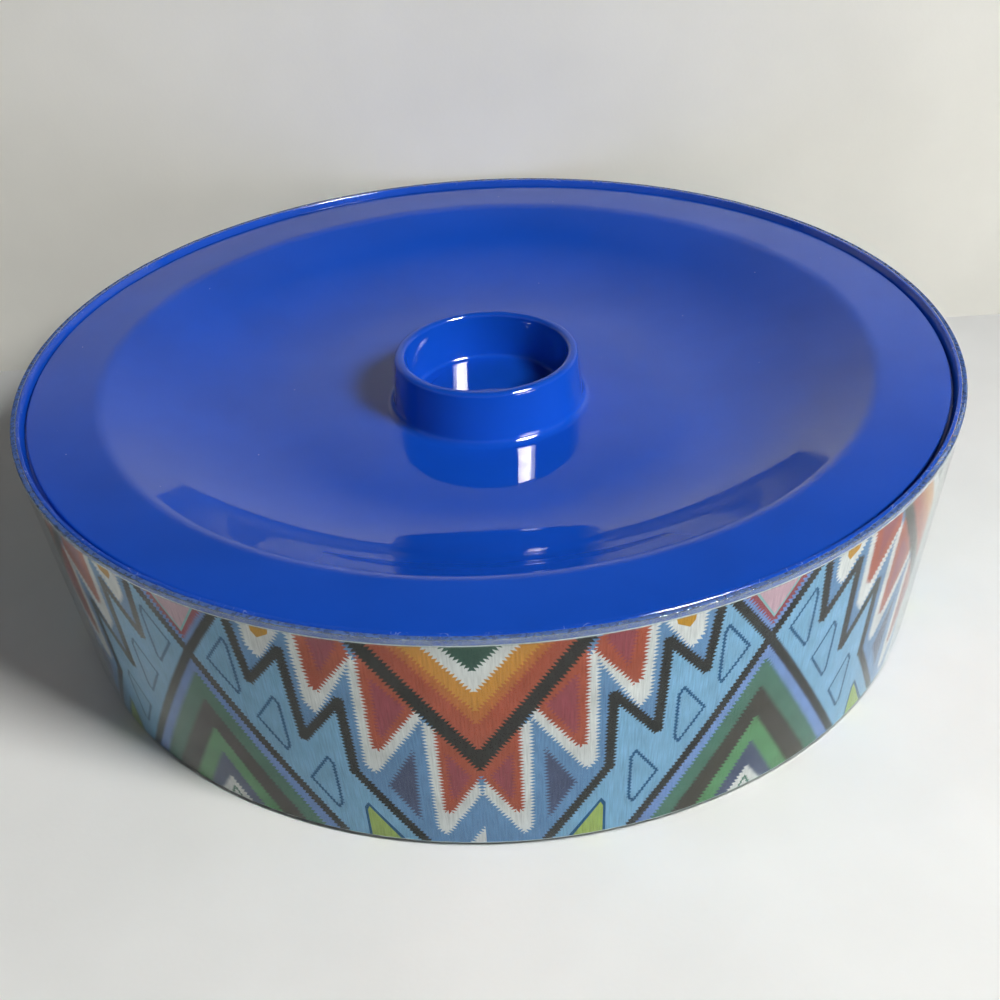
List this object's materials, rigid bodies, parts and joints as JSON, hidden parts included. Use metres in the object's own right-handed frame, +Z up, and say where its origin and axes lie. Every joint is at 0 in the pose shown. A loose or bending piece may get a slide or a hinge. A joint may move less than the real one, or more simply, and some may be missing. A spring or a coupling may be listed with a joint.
{
  "type": "tortilla warmer",
  "caption": "Round low double-walled keeper with a printed band behind a clear shell and a dished lift-off lid with a cup-shaped knob.",
  "frame": {"origin": "centre of the ring that the keeper stands on, at table level", "axes": "+Z up along the axis of the bowl, towards the lid; -Y faces the picture's viewer"},
  "size_m": [0.2539, 0.254, 0.067],
  "materials": {
    "lid_plastic": "gloss royal blue, moulded",
    "bowl_plastic": "gloss royal blue, moulded, rim scuffed",
    "printed_card": "matt printed card with a woven pattern of chevrons and lozenges",
    "clear_plastic": "clear, polished"
  },
  "bodies": {
    "keeper": {"inner_bowl": "bowl_plastic", "printed_band": "printed_card", "clear_shell": "clear_plastic"},
    "lid": {"lid": "lid_plastic"}
  },
  "joints": [
    {"name": "lid_lift", "type": "slide", "parent": "keeper", "child": "lid", "axis": [0, 0, 1], "range_m": [0, 0.12]}
  ]
}
